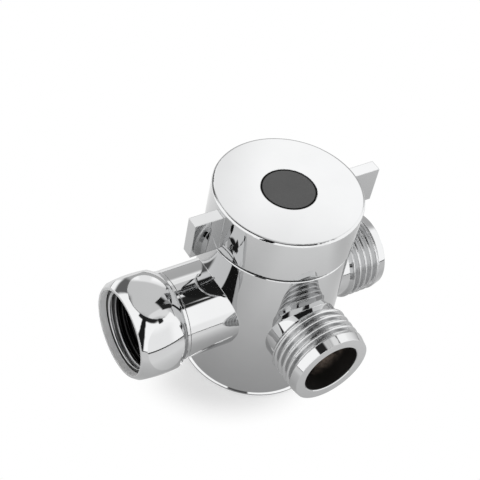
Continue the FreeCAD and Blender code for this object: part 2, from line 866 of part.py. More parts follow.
def build_knob_screw(size, place):
    """The M4 pan-head screw that holds the knob on the stem. Its thread is plain."""
    body = new_body("knob_screw")
    profile = new_sketch(body, "screw_outline", "XZ_Plane")
    outline(profile, [
        (0, -size["screw_length"]),
        (size["screw_radius"], -size["screw_length"]),
        (size["screw_radius"], 0),
        (size["head_radius"], 0),
        (size["head_radius"], size["head_height"]),
        (0, size["head_height"]),
    ])
    solid = revolve(body, "shank_and_head", profile)
    rim = ring_edges(solid, size["head_radius"], size["head_height"].value)
    soften(body, "head_edge", solid, size["head_round"], rim)
    cross = new_sketch(body, "cross_outline", "XY_Plane", out=size["head_height"])
    half_length = size["cross_length"] / 2
    half_width = size["cross_width"] / 2
    rectangle(cross, -half_length, half_length, -half_width, half_width)
    slot = pocket(body, "cross_arm", cross, size["cross_depth"])
    quarter = pattern(body, "cross", slot, CROSS_ARMS)
    quarter.Angle = FULL_TURN / 4
    set_place(body, z=place["head_foot"])


def build_lock_washer(size, place):
    """The split washer under the screw's head."""
    body = new_body("screw_lock_washer")
    section = new_sketch(body, "lock_outline", "XZ_Plane")
    hole = size["screw_radius"] + size["screw_hole_gap"]
    rectangle(section, hole, size["lock_radius"], 0, size["lock_thickness"])
    revolve(body, "lock", section, angle=as_size(FULL_TURN) - size["lock_split"])
    set_place(body, z=place["screw_seat"])


def build_all(size, place):
    build_valve_body(size, place)
    build_inlet_nut(size, place)
    build_retaining_ring(size, place)
    build_inlet_washer(size, place)
    build_seat_ring(size, "straight_seat_ring", (0, 0, 1), 0)
    build_seat_ring(size, "inlet_seat_ring", (0, 0, 1), 180)
    build_seat_ring(size, "branch_seat_ring", (0, 0, -1), 90)
    build_diverter_plug(size, place)

    plug_seal = size["plug_radius"] + size["seal_gap"]
    low_plug = size["port_height"] - size["plug_seal_offset"]
    high_plug = size["port_height"] + size["plug_seal_offset"]
    stem_seal = size["stem_radius"] + size["seal_gap"]
    low_stem = place["gland_seat"] + size["first_stem_seal"]
    high_stem = low_stem + size["stem_seal_pitch"]
    under_flange = place["flange_seat"] - size["gland_seal"] / 2
    build_seal("lower_plug_seal", plug_seal, size["plug_seal"], low_plug)
    build_seal("upper_plug_seal", plug_seal, size["plug_seal"], high_plug)
    build_seal("lower_stem_seal", stem_seal, size["stem_seal"], low_stem)
    build_seal("upper_stem_seal", stem_seal, size["stem_seal"], high_stem)
    build_seal("gland_seal", size["gland_radius"], size["gland_seal"], under_flange)

    build_thrust_washer(size, place)
    build_gland(size, place)
    build_glide_ring(size, place)
    build_knob(size, place)
    build_index_cap(size, place)
    build_knob_screw(size, place)
    build_lock_washer(size, place)


def check_and_export():
    """Stop on a failed object, then write each body to its own file."""
    document.recompute()
    for item in document.Objects:
        if "Invalid" in item.State or "Error" in item.State:
            raise RuntimeError(f"{item.Label} failed: {item.State}")
    bodies = [item for item in document.Objects if item.isDerivedFrom("PartDesign::Body")]
    for body in bodies:
        if body.Shape.isNull() or not body.Shape.isValid() or len(body.Shape.Solids) != 1:
            raise RuntimeError(f"{body.Label} has no single valid solid")
    os.makedirs("parts", exist_ok=True)
    for body in bodies:
        body.Shape.exportStep(f"parts/{body.Label}.step")
        centre = body.Shape.Solids[0].CenterOfMass
        print(f"{body.Label:20s} {body.Shape.Volume:9.2f} mm3 about {centre.x:7.3f} {centre.y:7.3f} {centre.z:7.3f}")


sizes = fill_sheet()
build_all(sizes, shared_places(sizes))
check_and_export()
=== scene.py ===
"""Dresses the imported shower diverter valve: mirror chrome with cut pipe threads, and a grey index cap.

Metres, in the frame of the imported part: +Z runs up the axis of the knob, the inlet nut is at -X,
the straight outlet at +X and the branch outlet at -Y.
"""

import json
import math
from collections import namedtuple

import bmesh
import bpy
import numpy as np
from mathutils import Matrix, Vector
from mathutils.bvhtree import BVHTree


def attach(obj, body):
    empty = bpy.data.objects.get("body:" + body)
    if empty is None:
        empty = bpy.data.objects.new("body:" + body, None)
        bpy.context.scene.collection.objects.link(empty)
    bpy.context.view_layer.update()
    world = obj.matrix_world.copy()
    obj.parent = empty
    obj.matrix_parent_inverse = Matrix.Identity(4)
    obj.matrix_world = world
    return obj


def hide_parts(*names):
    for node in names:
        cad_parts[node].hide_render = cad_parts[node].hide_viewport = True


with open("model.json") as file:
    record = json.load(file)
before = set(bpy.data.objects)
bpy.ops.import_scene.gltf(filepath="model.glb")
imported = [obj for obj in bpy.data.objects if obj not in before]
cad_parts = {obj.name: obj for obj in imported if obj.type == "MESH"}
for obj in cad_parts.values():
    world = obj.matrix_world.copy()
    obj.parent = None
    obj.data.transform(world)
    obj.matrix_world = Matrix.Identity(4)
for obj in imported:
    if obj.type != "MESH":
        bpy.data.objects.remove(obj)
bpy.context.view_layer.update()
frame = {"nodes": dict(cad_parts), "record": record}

MM = 0.001
HALF_TURN = 180.0  # degrees
nodes = frame["nodes"]
mounts = {mount["name"]: mount for mount in frame["record"]["mounts"]}
PORT_HEIGHT = mounts["straight_outlet"]["pos_m"][2]

# Camera values, from the ellipses of the knob and the outlets in the photograph

AZIMUTH = math.radians(-39.98)
ELEVATION = math.radians(45.223)
ROLL = math.radians(12.587)
DISTANCE = 273.45 * MM
TARGET = Vector((-6.55, 5.473, 35.795)) * MM
FOCAL_PIXELS = 1117.568
PICTURE_PIXELS = 480
SENSOR = 36.0
CLIP_START = 10 * MM

# Pipe thread G1/2. The two leads are how far the thread takes to reach its depth from each end.

PITCH = 1.814 * MM
THREAD_DEPTH = 1.162 * MM
FLANK_GAIN = 1.32
ROUNDING = 0.35
CREST_SKIN = 0.02 * MM
END_SKIN = 0.02 * MM
OUTLET_LEADS = (0.9 * MM, 0.5 * MM)
OUTLET_AIR_RADIUS = 11.2 * MM
NUT_LEADS = (0.3 * MM, 0)
NUT_OVERRUN = 0.3 * MM
NUT_AIR_RADIUS = 9.0 * MM
OUTLETS = (
    # Name, turn from +X in degrees and phase of the thread in turns
    ("straight", 0, 0.193),
    ("branch", -90, 0.883),
)

# Mesh values

WELD = 1e-7
TINY = 1e-30
AROUND = 256
ROWS_PER_PITCH = 20
FEWEST_ROWS = 8

# Finishes: where they change and what they change to

SHARP = 0.01 * MM
SOFT = 0.15 * MM
EDGE_ROUND = 0.22 * MM
EDGE_SAMPLES = 4
CHROME_BRIGHT = (0.55, 0.553, 0.556, 1)
CHROME_SMEARED = (0.539, 0.542, 0.545, 1)
CHROME_ROUGHNESS = (0.015, 0.03)
RIPPLE_STRENGTH = 0.05
RIPPLE_HEIGHT = 0.2 * MM
THREAD_RADII = (8.9 * MM, 10.5 * MM)
THREAD_REACH = (19.9 * MM, 28.2 * MM)
THREAD_ROUGHNESS = 0.2
BORE_RADIUS = 7.32 * MM
BORE_START = (13 * MM, 14 * MM)
# The bores' colours are painted: painted shade near the mouth, painted brown highlights deeper in.
BORE_LIT = (26.5 * MM, 23 * MM)
BORE_PAINTED_SHADE = (0.012, 0.011, 0.01, 1)
BORE_PAINTED_GLINT = (0.55, 0.45, 0.38, 1)
NUT_ENTRY_RADIUS = 10.66 * MM
NUT_STEP = 39.2 * MM
# Painted shade inside the nut: on its step face, and on its thread deeper in.
NUT_STEP_EDGE = (9.8 * MM, 9.9 * MM)
NUT_SHADE_REACH = (38.6 * MM, 36.4 * MM)
# Painted shade: a dark line round the cap's edge for the shadow of its gap.
CAP_GAP_SHADE = (6.2 * MM, 6.35 * MM)
CAP_ROUGHNESS = (0.38, 0.46)
CAP_GRAIN_STRENGTH = 0.12
GRAIN_HEIGHT = 0.02 * MM
TOOL_RING_HEIGHT = 0.05 * MM
TOOL_RING_STRENGTH = 0.25
TOOL_RING_STRETCH = (0.04, 0.04, 1.0)
METAL_SPREAD = 0.2
PLASTIC_SPREAD = 0.15

# Studio values. A share of the floor is its own light, and the rest is lit and takes the shadow.

FLOOR_RADIUS = 170 * MM
FLOOR_SHARE = 0.42
FLOOR_MIRROR_SHARE = 0.85
SHADOW_CENTRE = (-4 * MM, 0, 0)
SHADOW_SHRINK = 0.8
SHADOW_FADE = (16 * MM, 26 * MM)
# Painted light that the floor glows with in reflections: painted shadow near the part, painted lines round
# the base.
FLOOR_NEAR_LIGHT = 0.26
FLOOR_FAR_LIGHT = 1.08
FLOOR_BRIGHT_AT = 86 * MM
FLOOR_RIGHT = (34 * MM, 60 * MM)
FLOOR_RIGHT_SHARE = 0.66
FLOOR_LEFT = (-30 * MM, -60 * MM)
FLOOR_LEFT_SHARE = 0.84
BASE_LINE = (19.55 * MM, 20.4 * MM)
BASE_LINE_LIGHT = 1.8
BASE_UNDER_LIGHT = 0.34
BASE_GAP = (math.radians(-51), math.radians(-34))
BASE_GAP_SOFT = math.radians(1)
BASE_GAP_LIGHT = 0.03
RIM_HEIGHT = 4.0 * MM
RIM_ROUGHNESS = 0.6
LAMP_PLACE = (0.12, 0.14, 0.34)
LAMP_SIZE = 0.22
LAMP_POWER = 1.3
WALL_LIGHT = 1.62

Card = namedtuple("Card", "azimuth half_width low high softness light")
CARDS = (
    # In degrees, but for the light. Azimuth 0 is -Y and 90 is +X, and a later card covers an earlier one.
    Card(0, 190, 57, 90, 3, 0.03),  # Dark roof
    Card(-15, 62, 51, 90, 3, 0.03),  # Lower edge of the roof in front
    Card(21, 11, 45, 60, 3, 0.03),  # Dark flap that hangs from that edge
    Card(95, 35, 55, 60, 3, 0.6),  # Grey edge of the roof on the right
    Card(125, 42, 58, 82, 6, 0.95),  # Light in the roof, behind on the right
    Card(96, 8, 62, 80, 4, 1.25),  # Brightest strip of that light
    Card(0, 190, 81, 90, 6, 0.9),  # Light straight above
    Card(110, 11, 56, 66, 2, 0.03),  # Dark notch in the lower edge of the light in the roof
    Card(140, 38, -15, 33, 10, 0.65),  # Grey lower wall behind
    Card(143, 25, 46, 62, 4, 0.95),  # Grey upper wall behind, which the knob's top mirrors
    Card(136, 16, 37, 46, 3, 1.38),  # Brighter wall under it
    Card(133, 8, 38, 44, 4, 1.68),  # Brightest patch of the wall
    Card(-168, 18, 5, 42, 8, 0.2),  # Dark opening behind on the left
    Card(176, 8, 42, 70, 4, 0.04),  # Black slit above that opening
    Card(-51, 8, -12, 60, 3, 0.02),  # Black post beside the camera
    Card(14, 12, -15, 9, 8, 1.4),  # Foot of the front wall, a little greyer
)


# Objects


def new_object(name, data):
    """Put an object with this mesh, camera or light into the scene."""
    made = bpy.data.objects.new(name, data)
    bpy.context.scene.collection.objects.link(made)
    return made


# Camera


def make_camera():
    """Stand the camera at the photograph's viewing angle, rolled a little as the photographer's was."""
    back = Vector((
        math.sin(AZIMUTH) * math.cos(ELEVATION),
        -math.cos(AZIMUTH) * math.cos(ELEVATION),
        math.sin(ELEVATION),
    ))
    level = Vector((math.cos(AZIMUTH), math.sin(AZIMUTH), 0))
    upright = back.cross(level)
    across = level * math.cos(ROLL) + upright * math.sin(ROLL)
    up = upright * math.cos(ROLL) - level * math.sin(ROLL)
    data = bpy.data.cameras.new("camera")
    data.sensor_width = SENSOR
    data.lens = SENSOR * FOCAL_PIXELS / PICTURE_PIXELS
    data.clip_start = CLIP_START
    camera = new_object("camera", data)
    place = Matrix((across, up, back)).transposed().to_4x4()
    place.translation = TARGET + back * DISTANCE
    camera.matrix_world = place
    bpy.context.scene.camera = camera


# Shader graphs


class Graph:
    """A node tree with short ways to add nodes and join them."""

    def __init__(self, tree):
        self.tree = tree
        tree.nodes.clear()

    def node(self, kind, **settings):
        """Add a node and set its properties by name."""
        made = self.tree.nodes.new(kind)
        for name, value in settings.items():
            setattr(made, name, value)
        return made

    def put(self, socket, value):
        """Join an output to a socket, or set the socket to a plain value."""
        if isinstance(value, bpy.types.NodeSocket):
            self.tree.links.new(value, socket)
        else:
            socket.default_value = value

    def math(self, operation, *values):
        """The result of one Math node."""
        made = self.node("ShaderNodeMath", operation=operation)
        for socket, value in zip(made.inputs, values):
            self.put(socket, value)
        return made.outputs[0]

    def product(self, first, second):
        """Two numbers multiplied."""
        return self.math("MULTIPLY", first, second)

    def hypotenuse(self, first, second):
        """The root of the sum of two squares."""
        total = self.math("ADD", self.product(first, first), self.product(second, second))
        return self.math("SQRT", total)

    def step(self, value, low, high):
        """0 at low, 1 at high and smooth between them."""
        made = self.node("ShaderNodeMapRange", interpolation_type="SMOOTHSTEP")
        self.put(made.inputs["Value"], value)
        made.inputs["From Min"].default_value = low
        made.inputs["From Max"].default_value = high
        return made.outputs["Result"]

    def band(self, value, low, high, soft):
        """1 where a value lies between low and high, and 0 outside."""
        rise = self.step(value, low - soft, low + soft)
        fall = self.step(value, high + soft, high - soft)
        return self.product(rise, fall)

    def blend(self, share, first, second):
        """A number between two numbers, which are the sockets 2 and 3 of a Mix node."""
        made = self.node("ShaderNodeMix", data_type="FLOAT")
        self.put(made.inputs[0], share)
        self.put(made.inputs[2], first)
        self.put(made.inputs[3], second)
        return made.outputs[0]

    def blend_colour(self, share, first, second):
        """A colour between two colours, which are the sockets 6 and 7 of a Mix node."""
        made = self.node("ShaderNodeMix", data_type="RGBA")
        self.put(made.inputs[0], share)
        self.put(made.inputs[6], first)
        self.put(made.inputs[7], second)
        return made.outputs[2]

    def place(self):
        """Where a point lies on its own object, in metres."""
        return self.node("ShaderNodeTexCoord").outputs["Object"]

    def parts(self, vector):
        """The x, y and z of a vector."""
        made = self.node("ShaderNodeSeparateXYZ")
        self.put(made.inputs[0], vector)
        return tuple(made.outputs)

    def length(self, vector):
        """The length of a vector."""
        made = self.node("ShaderNodeVectorMath", operation="LENGTH")
        self.put(made.inputs[0], vector)
        return made.outputs["Value"]

    def noise(self, scale, detail=2.0, roughness=0.5, stretch=None):
        """Noise from 0 to 1, with features about 1 / scale metres wide."""
        where = self.place()
        if stretch:
            mapping = self.node("ShaderNodeMapping")
            self.put(mapping.inputs["Vector"], where)
            mapping.inputs["Scale"].default_value = stretch
            where = mapping.outputs[0]
        made = self.node("ShaderNodeTexNoise")
        self.put(made.inputs["Vector"], where)
        made.inputs["Scale"].default_value = scale
        made.inputs["Detail"].default_value = detail
        made.inputs["Roughness"].default_value = roughness
        return made.outputs["Fac"]

    def bump(self, height, strength, distance, normal=None):
        """The surface's normal, or the one given, tilted by the slopes of a height."""
        made = self.node("ShaderNodeBump")
        made.inputs["Strength"].default_value = strength
        made.inputs["Distance"].default_value = distance
        self.put(made.inputs["Height"], height)
        if normal is not None:
            self.put(made.inputs["Normal"], normal)
        return made.outputs["Normal"]


def new_material(name):
    """An empty material and its graph."""
    material = bpy.data.materials.new(name)
    material.use_nodes = True
    return material, Graph(material.node_tree)


def surface(graph, **inputs):
    """End a material in one principled shader with the inputs given by name."""
    shader = graph.node("ShaderNodeBsdfPrincipled")
    for name, value in inputs.items():
        graph.put(shader.inputs[name.replace("_", " ")], value)
    output = graph.node("ShaderNodeOutputMaterial")
    graph.put(output.inputs["Surface"], shader.outputs[0])


def grey(value, warm=0.0):
    """A grey as a shader colour, a little warmer where warm is above 0."""
    return (value * (1 + warm), value, value * (1 - warm), 1)


# Chrome

Patch = namedtuple("Patch", "where colour roughness metallic")


def port_reach(graph, along, sign):
    """How far a point lies along a port's axis, X or Y, and how far from that axis."""
    x, y, z = graph.parts(graph.place())
    lengthwise, crosswise = (x, y) if along == "X" else (y, x)
    height = graph.math("SUBTRACT", z, PORT_HEIGHT)
    return graph.product(lengthwise, sign), graph.hypotenuse(crosswise, height)


def outlet_patches(graph):
    """The outlets' dull threads and raw bores, with painted shade at the mouth and painted highlights deeper
    in.
    """
    patches = []
    for along, sign in (("X", 1.0), ("Y", -1.0)):
        reach, radius = port_reach(graph, along, sign)
        wall = graph.band(radius, *THREAD_RADII, SHARP)
        thread = graph.product(wall, graph.band(reach, *THREAD_REACH, SOFT))
        patches.append(Patch(where=thread, colour=None, roughness=THREAD_ROUGHNESS, metallic=1.0))
        inside = graph.step(radius, BORE_RADIUS + SOFT, BORE_RADIUS)
        bore = graph.product(inside, graph.step(reach, *BORE_START))
        # Painted brown highlights in spots deeper in, over painted shade near the mouth.
        stain_and_glint_spots = graph.step(graph.noise(scale=420, detail=4, roughness=0.6), 0.3, 0.75)
        deep = graph.product(stain_and_glint_spots, graph.step(reach, *BORE_LIT))
        raw = graph.blend_colour(deep, BORE_PAINTED_SHADE, BORE_PAINTED_GLINT)
        patches.append(Patch(where=bore, colour=raw, roughness=0.45, metallic=0.3))
    return patches


def nut_patches(graph):
    """The nut's dull inside: its satin entry, and painted shade on its step and on its thread, darker with
    depth.
    """
    reach, radius = port_reach(graph, "X", -1.0)
    inside = graph.step(radius, NUT_ENTRY_RADIUS + SHARP, NUT_ENTRY_RADIUS)
    entry = graph.product(inside, graph.step(reach, NUT_STEP, NUT_STEP + SOFT))
    on_step = graph.band(reach, NUT_STEP - SOFT, NUT_STEP + SOFT, SHARP)
    step_face = graph.product(on_step, graph.step(radius, *NUT_STEP_EDGE))
    # Painted shade: near-black on the step face, and on the thread deeper in.
    deeper_shade = graph.step(reach, *NUT_SHADE_REACH)
    dark = graph.product(inside, graph.math("MAXIMUM", deeper_shade, step_face))
    return [
        Patch(where=inside, colour=None, roughness=0.34, metallic=1.0),
        Patch(where=entry, colour=grey(0.8), roughness=0.35, metallic=0.25),
        Patch(where=dark, colour=grey(0.03), roughness=0.3, metallic=1.0),
    ]


def chrome(name, find_patches=None):
    """Bright plating: a mirror with faint smears and rounded edges, and patches of other finishes."""
    material, graph = new_material(name)
    smears = graph.step(graph.noise(scale=90, detail=4, roughness=0.6), 0.35, 0.7)
    colour = graph.blend_colour(smears, CHROME_BRIGHT, CHROME_SMEARED)
    rough = graph.blend(smears, *CHROME_ROUGHNESS)
    metallic = 1.0
    patches = find_patches(graph) if find_patches else []
    for patch in patches:
        if patch.colour is not None:
            colour = graph.blend_colour(patch.where, colour, patch.colour)
        rough = graph.blend(patch.where, rough, patch.roughness)
        metallic = graph.blend(patch.where, metallic, patch.metallic)
    bevel = graph.node("ShaderNodeBevel", samples=EDGE_SAMPLES)
    bevel.inputs["Radius"].default_value = EDGE_ROUND
    ripple = graph.noise(scale=55, detail=1, roughness=0.4)
    normal = graph.bump(ripple, RIPPLE_STRENGTH, RIPPLE_HEIGHT, normal=bevel.outputs[0])
    surface(graph, Base_Color=colour, Metallic=metallic, Roughness=rough, Normal=normal)
    return material


# Plastics, rubber and plain metals

PLAIN_METALS = {
    "spring_steel": dict(light=grey(0.5), dark=grey(0.42), rough=0.25, rings=3000),
    "screw_steel": dict(light=grey(0.58), dark=grey(0.5), rough=0.2, rings=3000),
    "plug_brass": dict(light=(0.75, 0.52, 0.22, 1), dark=(0.6, 0.4, 0.16, 1), rough=0.3, rings=2500),
    "gland_brass": dict(light=(0.72, 0.5, 0.21, 1), dark=(0.58, 0.38, 0.15, 1), rough=0.32, rings=2500),
}
MOULDINGS = {
    "seat_plastic": dict(light=grey(0.75, 0.02), dark=grey(0.7, 0.02), rough=0.35, grain=1200, strength=0.1),
    "glide_plastic": dict(light=grey(0.05), dark=grey(0.04), rough=0.4, grain=1200, strength=0.1),
    "seal_rubber": dict(light=grey(0.025), dark=grey(0.018), rough=0.5, grain=1500, strength=0.15),
}


def plastic_noises(graph, grain):
    """Wide soft clouds for the colour of a plastic, and the fine grain of its surface."""
    mottle = graph.step(graph.noise(scale=70, detail=3), 0.3, 0.7)
    return mottle, graph.noise(scale=grain, detail=3, roughness=0.55)


def cap_plastic():
    """The index cap: smooth grey plastic with painted shade, a dark line round its edge for the gap's
    shadow.
    """
    material, graph = new_material("cap_plastic_finish")
    x, y, _ = graph.parts(graph.place())
    # Painted shade round the cap's rim, for the shadow of its gap.
    edge = graph.step(graph.hypotenuse(x, y), *CAP_GAP_SHADE)
    mottle, fine = plastic_noises(graph, grain=900)
    face = graph.blend_colour(mottle, grey(0.026), grey(0.031))
    surface(
        graph,
        Base_Color=graph.blend_colour(edge, face, grey(0.004)),
        Metallic=edge,
        Roughness=graph.blend(fine, *CAP_ROUGHNESS),
        Normal=graph.bump(fine, CAP_GRAIN_STRENGTH, GRAIN_HEIGHT),
    )
    return material


def plain_metal(name, light, dark, rough, rings):
    """Turned metal: fine tool rings about the knob's axis and a dry, slightly stained surface."""
    material, graph = new_material(name)
    stain = graph.step(graph.noise(scale=160, detail=5, roughness=0.6), 0.3, 0.75)
    lines = graph.noise(scale=rings, stretch=TOOL_RING_STRETCH)
    surface(
        graph,
        Base_Color=graph.blend_colour(stain, light, dark),
        Metallic=1.0,
        Roughness=graph.blend(lines, rough * (1 - METAL_SPREAD), rough * (1 + METAL_SPREAD)),
        Normal=graph.bump(lines, TOOL_RING_STRENGTH, TOOL_RING_HEIGHT),
    )
    return material


def moulded(name, light, dark, rough, grain, strength):
    """Moulded plastic or rubber with a fine grain."""
    material, graph = new_material(name)
    mottle, fine = plastic_noises(graph, grain)
    surface(
        graph,
        Base_Color=graph.blend_colour(mottle, light, dark),
        Roughness=graph.blend(fine, rough * (1 - PLASTIC_SPREAD), rough * (1 + PLASTIC_SPREAD)),
        Normal=graph.bump(fine, strength, GRAIN_HEIGHT),
    )
    return material


def dress_nodes():
    """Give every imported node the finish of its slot."""
    finishes = {
        "body_chrome": chrome("body_chrome_finish", outlet_patches),
        "nut_chrome": chrome("nut_chrome_finish", nut_patches),
        "knob_chrome": chrome("knob_chrome_finish"),
        "cap_plastic": cap_plastic(),
    }
    for slot, looks in PLAIN_METALS.items():
        finishes[slot] = plain_metal(f"{slot}_finish", **looks)
    for slot, looks in MOULDINGS.items():
        finishes[slot] = moulded(f"{slot}_finish", **looks)
    for node in nodes.values():
        slot = node.data.materials[0].name
        node.data.materials[0] = finishes[slot]


# Meshes with the normals of the true surfaces


def read_rows(items, name, width, kind):
    """A property of all items of a mesh as an array, with one row for each item."""
    values = np.zeros(len(items) * width, kind)
    items.foreach_get(name, values)
    return values.reshape(-1, width)


def triangles_of(mesh):
    """The corners of a mesh's triangles and the normals at them, each as (triangles, 3, 3)."""
    mesh.calc_loop_triangles()
    verts = read_rows(mesh.loop_triangles, "vertices", 3, np.int32)
    loops = read_rows(mesh.loop_triangles, "loops", 3, np.int32)
    places = read_rows(mesh.vertices, "co", 3, np.float32)
    normals = read_rows(mesh.corner_normals, "vector", 3, np.float32)
    return places[verts].astype(float), normals[loops]


def flat_normals(corners):
    """The normal of each flat triangle, at each of its corners."""
    flat = np.cross(corners[:, 1] - corners[:, 0], corners[:, 2] - corners[:, 0])
    flat /= np.maximum(np.linalg.norm(flat, axis=1), TINY)[:, None]
    return np.repeat(flat[:, None, :], 3, axis=1)


def dot(first, second):
    """The dot product of each row of one array with the same row of another."""
    return (first * second).sum(1)


def corner_shares(corners, points):
    """How near each point lies to each corner of its own triangle, in shares that add up to 1."""
    side = corners[:, 1] - corners[:, 0]
    other = corners[:, 2] - corners[:, 0]
    reach = points - corners[:, 0]
    side_side, side_other, other_other = dot(side, side), dot(side, other), dot(other, other)
    reach_side, reach_other = dot(reach, side), dot(reach, other)
    area = np.maximum(side_side * other_other - side_other * side_other, TINY)
    second = np.clip((other_other * reach_side - side_other * reach_other) / area, 0, 1)
    third = np.clip((side_side * reach_other - side_other * reach_side) / area, 0, 1)
    return np.stack([1 - second - third, second, third], -1)


def borrow_normals(mesh, donors):
    """Give each corner of a cut mesh the normal of the surface that its face was cut from."""
    corners = np.concatenate([places for places, _ in donors])
    normals = np.concatenate([found for _, found in donors])
    flat = [tuple(point) for point in corners.reshape(-1, 3)]
    tree = BVHTree.FromPolygons(flat, [(3 * i, 3 * i + 1, 3 * i + 2) for i in range(len(corners))])
    source = [tree.find_nearest(polygon.center)[2] for polygon in mesh.polygons]
    source = np.repeat(source, [polygon.loop_total for polygon in mesh.polygons])
    loops = read_rows(mesh.loops, "vertex_index", 1, np.int32)[:, 0]
    points = read_rows(mesh.vertices, "co", 3, np.float32)[loops].astype(float)
    shares = corner_shares(corners[source], points)
    mixed = (normals[source] * shares[:, :, None]).sum(1)
    mixed /= np.linalg.norm(mixed, axis=1)[:, None]
    mesh.normals_split_custom_set([tuple(normal) for normal in mixed])


def signed_volume(mesh):
    """The volume that a mesh bounds, negative where its faces point inwards."""
    work = bmesh.new()
    work.from_mesh(mesh)
    volume = work.calc_volume(signed=True)
    work.free()
    return volume


def close_mesh(mesh):
    """Join the doubled points along sharp edges, so that the mesh bounds a solid."""
    work = bmesh.new()
    work.from_mesh(mesh)
    bmesh.ops.remove_doubles(work, verts=work.verts, dist=WELD)
    if work.calc_volume(signed=True) < 0:
        bmesh.ops.reverse_faces(work, faces=work.faces)
    closed = bpy.data.meshes.new(mesh.name)
    work.to_mesh(closed)
    work.free()
    return closed


# Threads


def groove_share(phase):
    """How deep the thread is at a share of its pitch: 0 on the rounded crest, 1 on the rounded root."""
    wave = np.abs((phase % 1.0) * 2 - 1) * 2 - 1
    sharp = np.clip(wave * FLANK_GAIN, -1, 1)
    rounded = np.sin(sharp * math.pi / 2)
    return 0.5 - 0.5 * rounded * ROUNDING - 0.5 * sharp * (1 - ROUNDING)


def ring_points(along, angle, radius):
    """The points of rings about +X, ring after ring, one for each place along it."""
    parts = np.broadcast_arrays(along, radius * np.cos(angle), radius * np.sin(angle))
    return np.stack(parts, -1).reshape(-1, 3)


def ring_quads(first, second):
    """The faces between two rings, which are given by the index of their first points."""
    steps = [(column, (column + 1) % AROUND) for column in range(AROUND)]
    return [(first + here, first + after, second + after, second + here) for here, after in steps]


def thread_tool(name, near, far, surface_radius, air_radius, leads, phase):
    """A closed ring about +X between near and far, and how many of its first points are the thread.

    One of its walls is the thread, sunk into the surface, and the other is in the air.
    """
    rows = max(FEWEST_ROWS, int(round((far - near) / PITCH * ROWS_PER_PITCH)))
    along = np.linspace(near, far, rows + 1)[:, None]
    turn = np.arange(AROUND)[None, :] / AROUND
    run_in = np.clip((along - near) / leads[0], 0, 1) if leads[0] else 1.0
    run_out = np.clip((far - along) / leads[1], 0, 1) if leads[1] else 1.0
    depth = THREAD_DEPTH * np.minimum(run_in, run_out) * groove_share(along / PITCH - turn + phase)
    cut = CREST_SKIN + depth
    outside = air_radius > surface_radius
    radius = surface_radius - cut if outside else surface_radius + cut
    angle = turn * 2 * math.pi
    wall = ring_points(along, angle, radius)
    air = ring_points(along[[0, -1]], angle, air_radius)

    last_wall = rows * AROUND
    first_air = len(wall)
    last_air = first_air + AROUND
    quads = []
    for row in range(rows):
        quads += ring_quads(row * AROUND, (row + 1) * AROUND)
    quads += ring_quads(last_air, first_air)
    quads += ring_quads(first_air, 0)
    quads += ring_quads(last_wall, last_air)
    if not outside:
        quads = [quad[::-1] for quad in quads]
    mesh = bpy.data.meshes.new(name)
    mesh.from_pydata([tuple(point) for point in np.concatenate([wall, air])], [], quads)
    mesh.polygons.foreach_set("use_smooth", np.ones(len(quads), bool))
    mesh.update()
    return mesh, len(wall)


def tool_donors(mesh, wall_count):
    """The surfaces that a tool leaves behind: smooth where its thread cut, flat where its ends did."""
    corners, normals = triangles_of(mesh)
    flat = flat_normals(corners)
    on_wall = np.array([all(i < wall_count for i in face.vertices) for face in mesh.loop_triangles])
    return [(corners[on_wall], -normals[on_wall]), (corners[~on_wall], -flat[~on_wall])]


def cut_threads(node, piece_name, tools):
    """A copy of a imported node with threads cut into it. It keeps the true normals of both."""
    source = nodes[node]
    donors = [triangles_of(source.data)]
    work = new_object(piece_name, close_mesh(source.data))
    cutters = []
    for mesh, place, wall_count in tools:
        mesh.transform(place)
        if signed_volume(mesh) < 0:
            mesh.flip_normals()
        mesh.update()
        donors += tool_donors(mesh, wall_count)
        cutter = new_object(mesh.name, mesh)
        cutters.append(cutter)
        modifier = work.modifiers.new(cutter.name, "BOOLEAN")
        modifier.operation = "DIFFERENCE"
        modifier.solver = "MANIFOLD"
        modifier.object = cutter
    graph = bpy.context.evaluated_depsgraph_get()
    mesh = bpy.data.meshes.new_from_object(work.evaluated_get(graph))
    work.modifiers.clear()
    work.data = mesh
    for cutter in cutters:
        bpy.data.objects.remove(cutter)
    borrow_normals(mesh, donors)
    mesh.materials.clear()
    mesh.materials.append(source.data.materials[0])
    return work


def at_ports(turn):
    """From +X at the origin to the height of the ports, turned about the knob's axis by some degrees."""
    return Matrix.Translation((0, 0, PORT_HEIGHT)) @ Matrix.Rotation(math.radians(turn), 4, "Z")


def thread_body():
    """The cast body with both outlet threads cut."""
    tools = []
    for name, turn, phase in OUTLETS:
        mount = mounts[f"{name}_outlet"]
        middle = max(abs(value) for value in mount["pos_m"][:2])
        half = mount["dims"]["length_mm"] * MM / 2
        mesh, wall_count = thread_tool(
            f"{name}_thread_tool",
            near=middle - half + END_SKIN,
            far=middle + half - END_SKIN,
            surface_radius=mount["dims"]["r_mm"] * MM,
            air_radius=OUTLET_AIR_RADIUS,
            leads=OUTLET_LEADS,
            phase=phase,
        )
        tools.append((mesh, at_ports(turn), wall_count))
    piece = cut_threads("valve_body", "valve_body_threaded", tools)
    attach(piece, "valve")
    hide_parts("valve_body")


def thread_nut():
    """The swivel nut with its inside thread cut."""
    mount = mounts["inlet_thread"]
    middle = abs(mount["pos_m"][0])
    half = mount["dims"]["length_mm"] * MM / 2
    mesh, wall_count = thread_tool(
        "nut_thread_tool",
        near=middle - half + END_SKIN,
        far=middle + half + NUT_OVERRUN,
        surface_radius=mount["dims"]["r_mm"] * MM,
        air_radius=NUT_AIR_RADIUS,
        leads=NUT_LEADS,
        phase=0.0,
    )
    piece = cut_threads("inlet_nut", "inlet_nut_threaded", [(mesh, at_ports(HALF_TURN), wall_count)])
    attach(piece, "coupling")
    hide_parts("inlet_nut")


# Studio


